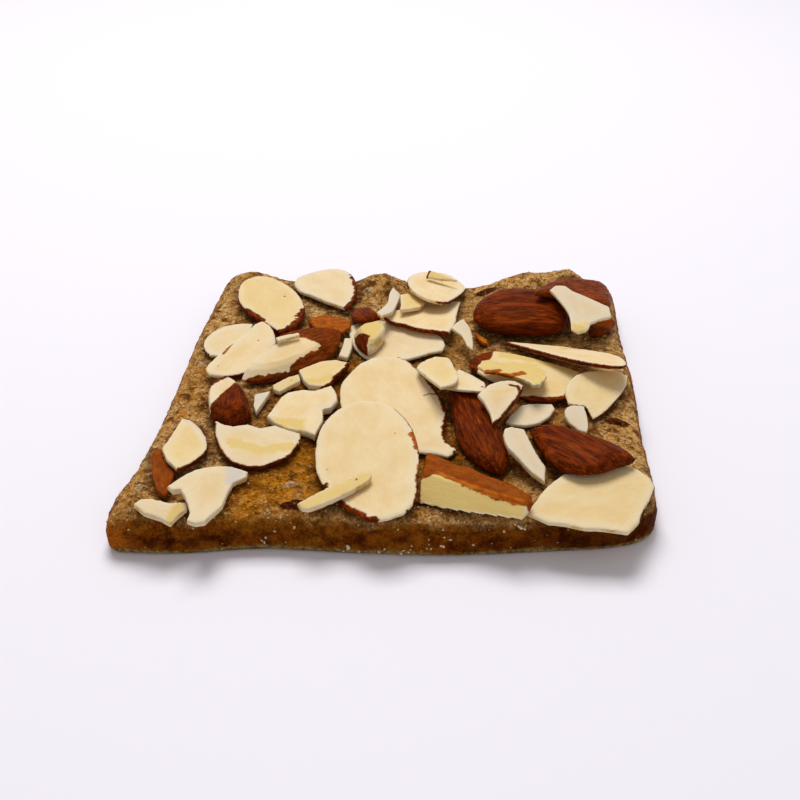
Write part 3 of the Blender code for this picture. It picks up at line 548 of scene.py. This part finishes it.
def nut_material():
    """The cut flesh of an almond and the skin that stays on it."""
    made, tree, shader = blank_material("almond flesh and skin")
    grain = stored_vector(tree, "grain")
    rim, tone, skin = stored(tree, "rim"), stored(tree, "tone"), stored(tree, "skin")
    pale = rising(tree, tone, 0.0, -1.0)
    warm = rising(tree, tone, 0.0, 1.0)

    cream = between(tree, spots(tree, grain, 2.6, 0.34, 0.68), *CREAM)
    flesh = between(tree, pale, cream, PALE_FLESH)
    flesh = between(tree, warm, flesh, WARM_FLESH)
    band = rising(tree, rim, 1.9, 0.5, "SMOOTHSTEP")
    cloudy = both_of(tree, band, spots(tree, grain, 4.0, 0.25, 0.50, seed=2.0))
    cloudy = both_of(tree, cloudy, warm, "SUBTRACT")
    flesh = stain(tree, flesh, cloudy, 0.6, between(tree, pale, *RIM_RING))
    fibres = spots(tree, grain, 0.42, 0.36, 0.68, seed=3.0, stretch=(0.5, 1.0, 1.0))
    flesh = stain(tree, flesh, fibres, 0.07, FIBRE)
    # The side walls are painted a deeper, darker yellow: partly the flesh's own yellow, partly painted
    # shade.
    wall_yellow_and_shade = between(tree, spots(tree, grain, 1.5, 0.34, 0.62, seed=4.0), *WALL_YELLOW_AND_SHADE)
    flesh = stain(tree, flesh, stored(tree, "wall"), 0.95, wall_yellow_and_shade)
    # Painted highlight: a pale line along the very edge of each cut face.
    rim_highlight = both_of(tree, rising(tree, rim, 0.30, 0.06), spots(tree, grain, 1.2, 0.36, 0.54, seed=5.0))
    flesh = stain(tree, flesh, rim_highlight, 0.6, RIM_HIGHLIGHT)
    for apart, radius, low, share, seed in SPECKS:
        dots = wire(tree, "ShaderNodeTexVoronoi", Vector=grain, Scale=1 / apart, Randomness=1.0)
        small = rising(tree, dots.outputs["Distance"], radius, radius / 2)
        few = both_of(tree, small, spots(tree, grain, 2.8, low, low + 0.04, seed=seed))
        flesh = stain(tree, flesh, few, share, SPECK)
    flesh = stain(tree, flesh, spots(tree, grain, 0.17, 0.60, 0.70, seed=17.0), 0.25, PORE)

    wrinkles = spots(tree, grain, 0.42, 0.34, 0.68, seed=8.0, stretch=(0.45, 1.0, 1.0))
    husk = between(tree, wrinkles, *HUSK)
    husk = between(tree, spots(tree, grain, 1.5, 0.48, 0.70, seed=9.0), husk, HUSK_PATCH)
    veins = spots(tree, grain, 0.22, 0.56, 0.70, seed=13.0, stretch=(0.25, 1.0, 1.0))
    husk = stain(tree, husk, veins, 0.75, HUSK_VEIN)
    honey = between(tree, spots(tree, grain, 0.7, 0.35, 0.65, seed=14.0), *HONEY)
    husk = between(tree, stored(tree, "amber"), husk, honey)

    fine = spots(tree, grain, 0.2, 0.25, 0.75, seed=10.0)
    husk_wrinkles, husk_veins = both_of(tree, wrinkles, skin), both_of(tree, veins, skin)
    heights = ((fibres, 0.012), (husk_wrinkles, 0.10), (husk_veins, 0.05), (fine, 0.02))
    stands(tree, between(tree, skin, flesh, husk), heights)
    tree.links.new(between(tree, skin, FLESH_MATT, HUSK_MATT), shader.inputs["Roughness"])
    matt_food(shader, 0.04, 0.12, (1.0, 0.62, 0.28), 1.1)
    return made


NUT = nut_material()


def from_line(points, line):
    """Distance in plan from each point to a broken line, in millimetres."""
    spot = points[:, :2]
    nearest = np.full(len(spot), 1e9)
    ends = [np.array(p, float) for p in line]
    for a, b in zip(ends, ends[1:] if len(ends) > 1 else ends):
        run = b - a
        t = np.clip((spot - a) @ run / max(run @ run, 1e-9), 0, 1)
        nearest = np.minimum(nearest, np.linalg.norm(spot - a - t[:, None] * run, axis=1))
    return nearest


def within(points, corners):
    """Distance in plan to an outline's edge, positive inside it."""
    x, y = points[:, 0], points[:, 1]
    inside = np.zeros(len(points), bool)
    for (ax, ay), (bx, by) in zip(corners, corners[1:] + corners[:1]):
        crosses = (ay > y) != (by > y)
        inside ^= crosses & (x < ax + (y - ay) * (bx - ax) / ((by - ay) or 1e-9))
    return from_line(points, corners + corners[:1]) * np.where(inside, 1, -1)


def from_points(points, chosen, furthest):
    """Distance from each point to the nearest of the chosen ones."""
    found = np.full(len(points), furthest)
    if chosen.any():
        tree = kdtree.KDTree(int(chosen.sum()))
        for place, p in enumerate(points[chosen]):
            tree.insert(p, place)
        tree.balance()
        for i, p in enumerate(points):
            found[i] = min(furthest, tree.find(p)[2])
    return found


dressed = []


def dress(node, name, tone=0.0, skin=(), marks=(), cell=SLICE_CELL, nibble=NIBBLE, coarse=SLICE_COARSE,
          fine=SLICE_FINE, all_skin=0.0, all_amber=0.0, stretch=FIBRE_STRETCH):
    """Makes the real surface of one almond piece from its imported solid.

    Skin is a list of arcs: the bearings between which the side wall keeps its skin, in degrees
    anticlockwise from the right, and how far the skin comes in over the cut face. A mark paints
    a line of some width in plan, or without a width the area in an outline, as skin, amber skin,
    flesh, or as warmer or greyer flesh."""
    seed = len(dressed) + 1
    piece = welded_copy(node, name)
    even_cells(piece, cell, SLICE_SOFTENING)
    points, normals = points_of(piece)
    centre = points.mean(axis=0)
    axes = np.linalg.eigh(np.cov((points - centre).T))[1]
    up = axes[:, 0] * (1 if axes[2, 0] > 0 else -1)
    along = axes[:, 2]
    across = np.cross(up, along)
    facing = normals @ up
    wall = 1 - ramp(np.abs(facing), 0.55, 0.85)
    rim = from_points(points, wall > 0.5, 3.0)
    uneven = patchy(points, 0.9, seed)
    ragged = patchy(points, 0.35, seed + 60)
    worn = nibble * np.exp(-rim / 0.35) * np.clip(uneven + 0.15, 0, 1)
    points = points - up * (worn * np.sign(facing))[:, None] - normals * (worn * wall)[:, None] * 0.6
    piece.data.vertices.foreach_set("co", (points * MM).ravel())
    piece.data.update()
    bearing = np.degrees(np.arctan2(normals[:, 1], normals[:, 0])) + 10 * uneven
    covered = np.full(len(points), float(all_skin))
    for start, end, reach in skin:
        inside = ((bearing - start) % 360 <= end - start) & (wall > 0.4)
        near = from_points(points, inside, 3.0)
        limit = reach * (1 + 0.7 * uneven + 0.3 * ragged)
        on_wall = inside * ramp(wall, 0.4, 0.6)
        covered = np.maximum(covered, np.maximum(on_wall, 1 - ramp(near, limit, limit + 0.1)))
    amber = np.full(len(points), float(all_amber))
    tones = np.full(len(points), float(tone))
    for kind, line, width in marks:
        shade = kind in ("warm", "grey")
        soft = 0.5 if shade else 0.06
        if width:
            limit = width / 2 * (1 + 0.4 * uneven + 0.3 * ragged)
            painted = 1 - ramp(from_line(points, line), limit - soft, limit + soft)
        else:
            painted = ramp(within(points, line) + 0.22 * uneven + 0.12 * ragged, -soft, soft)
        if shade:
            tones = tones + painted * (1 if kind == "warm" else -1)
            continue
        if kind == "amber":
            amber = np.maximum(amber, painted)
        covered = np.minimum(covered, 1 - painted) if kind == "flesh" else np.maximum(covered, painted)
    local = points - centre
    grain = np.stack([local @ along * stretch, local @ across, local @ up], axis=1) + seed * 17.0
    keep(piece, "grain", grain)
    keep(piece, "give", np.ones(len(points)))
    keep(piece, "rim", rim)
    keep(piece, "wall", wall)
    keep(piece, "tone", tones)
    keep(piece, "skin", covered)
    keep(piece, "amber", amber)
    roughen(piece, coarse, fine, seed)
    piece.data.materials.append(NUT)
    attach(piece, "root")
    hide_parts(node)
    dressed.append(name)


dress("almond_back_left_round", "slice_back_left_round", 0.35, [(-180, 180, 0.05), (-88, -2, 0.75)],
      [("skin", [(-26.3, 17.3), (-24.6, 15.9), (-23.0, 14.3)], 0.8), ("skin", [(-20.5, 21.9)], 0.3)])
dress("almond_back_left_half", "slice_back_left_half", -0.15, [(-70, 150, 0.05), (-50, 20, 0.45)])
dress("almond_big_centre", "slice_big_centre", 0.0, [(-15, 60, 0.3)], [
    ("skin", [(3.0, -6.6), (3.8, -6.1), (4.6, -6.2)], 0.2),
    ("skin", [(4.0, -2.9), (5.0, -5.4), (5.8, -8.2), (6.2, -10.2)], 0.9),
    ("skin", [(6.0, -13.4), (6.0, -16.1), (7.1, -18.2)], 0.5),
])
dress("almond_big_front", "slice_big_front", 0.05, [(-150, -92, 0.5), (-25, 40, 0.12), (140, 215, 0.03)], [
    ("amber", [(1.9, -18.1), (2.5, -19.3), (2.5, -20.6)], 1.4),
    ("amber", [(2.7, -24.3), (2.7, -25.6), (2.5, -27.3)], 0.6),
    ("skin", [(-9.3, -24.5)], 0.22), ("skin", [(-0.7, -17.8)], 0.2),
])
dress("almond_big_right", "slice_big_right", 0.2, [(-30, 75, 0.03)])
dress("almond_right_slice", "slice_right", 0.3, [(-75, 60, 0.04)])
dress("almond_long_tilted", "slice_long_tilted", 0.05, [(-178, -2, 0.08)], [
    ("warm", [(24.0, 5.9), (25.2, 6.5)], 1.1),
])
dress("almond_back_round", "slice_back_round", 0.0, [(-80, 200, 0.04)], [("skin", [(5.5, 27.7)], 0.22)])
dress("almond_crescent", "slice_crescent", -0.2, [(-172, -8, 0.12)], [
    # The warm band is partly painted shade in the crescent's hollow and partly its warmer, translucent
    # flesh.
    ("warm", [(-22.5, -19.2), (-18.5, -20.6), (-14.6, -19.4)], 1.9),
])
dress("almond_left_pointed", "slice_left_pointed", 0.0, [(-70, 60, 0.02)], [
    ("amber", [(-26.7, 6.1), (-27.6, 3.3)], 0.35),
    ("skin", [(-22.9, 7.8)], 0.26), ("skin", [(-27.8, 0.1)], 0.2),
])
dress("almond_back_flap", "slice_back_flap", 0.1, [(-165, -40, 0.16)])

# Slices low in the heap
# Pale slices of the same kind, strewn on first and baked straight onto the dough. The ones
# above them leave only an edge or a corner of each in view.
dress("almond_under_back", "low_slice_back", -0.15, [(20, 160, 0.05)])
dress("almond_under_left", "low_slice_left", -0.15, [(100, 220, 0.04)])
dress("almond_under_right", "low_slice_right", 0.3, [(-120, -20, 0.4)], [
    ("skin", [(8.8, 6.0), (13.7, 7.6), (13.0, 5.0), (12.1, 2.5), (10.8, 1.0), (8.0, 1.0)], None),
    ("skin", [(18.3, -6.2), (20.7, -6.5), (23.3, -6.1)], 1.0),
    # This warm band is partly the slice's yellower back edge and partly painted shadow of the tilted slice
    # above.
    ("warm", [(15.4, 6.0), (20.2, 4.7), (23.4, 2.8), (26.3, 0.9)], 2.2),
])

# Broken flakes and chips
# Slices that snapped in the bag: straight jagged breaks on some sides, the kernel's own
# curve with its line of skin on others. They lie loosely on one another and on the dough.
dress("almond_left_big_chip", "flake_left_big", 0.0, [(20, 60, 0.05)], [
    ("warm", [(-18.6, -12.9), (-13.4, -13.4), (-13.2, -15.9), (-16.0, -15.3), (-17.9, -13.9)], None),
    ("grey", [(-11.6, -10.1), (-10.0, -9.9), (-9.3, -8.3)], 0.4),
])
dress("almond_left_chip", "flake_left", 0.35, [(-80, 60, 0.08)], [
    ("grey", [(-30.4, -14.0), (-28.9, -14.4), (-27.3, -16.3), (-26.3, -18.3)], 0.9),
])
dress("almond_left_leg", "flake_left_leg", -0.05, [], [
    # The grey band is partly painted shade of a darker facet and partly greyer, translucent flesh.
    ("grey", [(-21.6, -25.2), (-20.9, -25.9), (-21.2, -27.4)], 1.8),
])
dress("almond_corner_chip", "flake_corner", 0.05, [], [
    # The warm patch is partly the tip's darker yellow and partly painted shade.
    ("warm", [(-27.2, -32.6), (-27.5, -34.0), (-27.7, -35.0)], 1.4),
])
dress("almond_chip_mid", "flake_mid", 0.5, [(-60, 50, 0.25)], [
    ("warm", [(-14.5, -3.2), (-12.5, -3.3), (-10.7, -2.0)], 0.9),
])
dress("almond_tile", "flake_tile", 0.6, [(80, 130, 0.05)])
dress("almond_grey_chip", "flake_grey", -0.7, [])
dress("almond_bar", "flake_bar", -0.1, [])
dress("almond_top_triangle", "flake_top_triangle", -0.1, [], [("skin", [(11.3, -7.4)], 0.45)])
dress("almond_top_chip", "flake_top", 0.35, [(90, 150, 0.25)])
dress("almond_brown_edge", "flake_brown_edge", -0.1, [(-70, 70, 0.12)], [
    ("skin", [(15.2, -7.6), (16.3, -7.5), (16.6, -8.7), (16.1, -10.2), (15.2, -12.0), (13.8, -14.9)], 0.5),
    ("warm", [(12.0, -10.2), (13.8, -9.7), (16.2, -8.0)], 0.2),
])
dress("almond_ragged", "flake_ragged", 0.9, [], [
    ("amber", [(12.0, -4.1), (12.9, -4.1), (13.8, -3.1)], 1.1),
    ("amber", [(13.8, -4.6), (15.8, -4.8), (17.3, -3.2)], 1.1),
], coarse=(1.2, 0.34), fine=(0.5, 0.08), nibble=0.3)
dress("almond_right_flat", "flake_right_flat", -0.3, [])
dress("almond_small_right", "flake_small_right", -0.45, [])
dress("almond_small_tip", "flake_small_tip", -0.3, [])
dress("almond_back_lilac", "flake_back_lilac", -0.6, [])
dress("almond_back_yellow", "flake_back_yellow", 0.7, [])
dress("almond_back_thin", "flake_back_thin", 1.0, [(150, 210, 0.3)])
dress("almond_corner_white", "flake_corner_white", -0.4, [], [
    ("warm", [(24.6, 7.6), (26.6, 7.2), (28.2, 8.8)], 3.0), ("warm", [(24.8, 7.8), (26.4, 7.2)], 2.4),
])

# Sticks and splinters
# Narrow strips that split off along the kernel as it was sliced, yellow on the fresh side
# faces, which are also painted darker as shade. They lie across the dough and the flakes.
STICK_CELL = 0.16
SPLINTER_CELL = 0.12

dress("almond_stick", "stick_front", 0.8, [], [("skin", [(-5.2, -28.0)], 0.25)], cell=STICK_CELL)
dress("almond_white_stick", "stick_white", -0.35, cell=STICK_CELL)
dress("almond_splinter", "splinter_left", 0.1, cell=SPLINTER_CELL)

# Thick broken chunks
# Corners of kernels, two or three millimetres thick, with skin on the rounded outside and
# fresh cream or yellow breaks. Their own weight sank them a little into the soft dough.
dress("almond_left_white", "chunk_left_white", 0.0, marks=[
    ("flesh", [
        (-25.4, -4.6), (-23.4, -0.6), (-20.4, 3.4), (-18.4, 5.6), (-16.7, 6.6), (-14.9, 6.2),
        (-12.9, 5.2), (-13.6, 4.1), (-15.9, 1.9), (-17.0, 0.5), (-17.3, -0.4), (-18.6, -1.1),
        (-20.3, -1.9), (-22.7, -2.6),
    ], None),
], all_skin=1.0, all_amber=0.15)
dress("almond_chunk_left", "chunk_left_brown", -0.1, marks=[
    ("flesh", [
        (-27.6, -13.6), (-27.8, -9.6), (-26.2, -6.6), (-24.4, -5.4), (-24.0, -6.7), (-24.9, -9.0),
        (-26.0, -11.6), (-26.8, -13.1),
    ], None),
], all_skin=1.0)
dress("almond_chunk_yellow", "chunk_yellow", 1.0, marks=[
    ("skin", [(-8.8, 9.4), (-5.4, 6.6), (-5.8, 5.4), (-5.8, 3.6), (-7.4, 3.6), (-8.8, 6.0)], None),
])
dress("almond_front_wedge", "chunk_front_wedge", 1.0, marks=[
    ("flesh", [
        (5.2, -27.0), (7.5, -28.5), (9.8, -30.1), (12.1, -31.3), (14.1, -32.1), (15.5, -32.7), (18.5, -33.4),
        (18.5, -38.0), (3.0, -38.0), (3.0, -27.4),
    ], None),
    ("amber", [(5.0, -26.6), (7.5, -28.2), (9.8, -29.7), (12.1, -30.9), (15.5, -32.3)], 0.8),
], all_skin=1.0, all_amber=0.45)

# Almonds with the skin up
# Half and quarter kernels that lie with their red-brown skin upwards, wrinkled lengthways.
# They were pressed into the dough before baking. Each has its own depth of fold.
KERNEL_CELL = 0.2
KERNEL_STRETCH = 0.25
KERNEL_FOLDS = (("almond_whole_brown", 0.12), ("almond_ridged_brown", 0.2), ("almond_brown_front", 0.14))

for node, folds in KERNEL_FOLDS:
    dress(node, node.replace("almond", "kernel"), all_skin=1.0, stretch=KERNEL_STRETCH, cell=KERNEL_CELL,
          coarse=(0.9, folds), fine=(0.45, 0.05))

# Loose skin
# Papery pieces of skin that came away from the kernels: dark where they lie double, amber
# and translucent where they are single.
SKIN_CELL = 0.16
SKIN_AMBER = (
    ("skin_amber_back", 0.75), ("skin_orange_scrap", 1.0), ("skin_dark_back", 0.0),
    ("skin_strip_left", 0.4), ("skin_corner_curved", 0.1), ("skin_corner_small", 0.15),
)

for node, amber in SKIN_AMBER:
    dress(node, "loose_" + node, all_skin=1.0, all_amber=amber, coarse=(1.1, 0.14), fine=(0.5, 0.04),
          cell=SKIN_CELL)

# The table, the light and the camera
# A white table top under one broad soft light above and behind, with a weak one in front.
# The view is the photo's own. The focal length and the horizon are in pixels of a picture
# 800 pixels wide.
TABLE_HALF = 1.2
TABLE_WHITE = (0.905, 0.865, 0.925, 1)
ROOM_WHITE = (0.98, 0.98, 1.0, 1)
ROOM_STRENGTH = 0.36
PICTURE_WIDTH = 800
FOCAL_LENGTH = 1100
HORIZON_ABOVE_MIDDLE = 725
EYE = (4.2124 * MM, -138.9418 * MM, 93.3026 * MM)
YAW = math.radians(2)
FILM_WIDTH = 36

table_mesh = bpy.data.meshes.new("table")
table_corners = [(x * TABLE_HALF, y * TABLE_HALF, 0) for x, y in ((-1, -1), (1, -1), (1, 1), (-1, 1))]
table_mesh.from_pydata(table_corners, [], [(0, 1, 2, 3)])
table = bpy.data.objects.new("table", table_mesh)
bpy.context.scene.collection.objects.link(table)
white, _, white_shader = blank_material("white table")
white_shader.inputs["Base Color"].default_value = TABLE_WHITE
white_shader.inputs["Roughness"].default_value = 0.6
white_shader.inputs["Specular IOR Level"].default_value = 0.2
table_mesh.materials.append(white)

world = bpy.data.worlds.new("studio")
world.use_nodes = True
room = world.node_tree.nodes["Background"].inputs
room["Color"].default_value = ROOM_WHITE
room["Strength"].default_value = ROOM_STRENGTH
bpy.context.scene.world = world


def soft_light(name, place, size, power):
    """A square light that looks at the middle of the cookie's underside."""
    light = bpy.data.lights.new(name, "AREA")
    light.size = size
    light.energy = power
    lamp = bpy.data.objects.new(name, light)
    lamp.location = place
    lamp.rotation_euler = (-Vector(place)).to_track_quat("-Z", "Y").to_euler()
    bpy.context.scene.collection.objects.link(lamp)


soft_light("window", (-0.05, 0.25, 0.55), 0.30, 2.9)
soft_light("fill", (0.2, -0.5, 0.45), 0.5, 0.35)

eye = bpy.data.cameras.new("eye")
eye.sensor_width = FILM_WIDTH
eye.lens = FILM_WIDTH * FOCAL_LENGTH / PICTURE_WIDTH
eye.clip_start = 0.001
camera = bpy.data.objects.new("eye", eye)
camera.location = EYE
camera.rotation_euler = (math.pi / 2 - math.atan(HORIZON_ABOVE_MIDDLE / FOCAL_LENGTH), 0, YAW)
bpy.context.scene.collection.objects.link(camera)
bpy.context.scene.camera = camera
bpy.context.scene.view_settings.view_transform = "Standard"
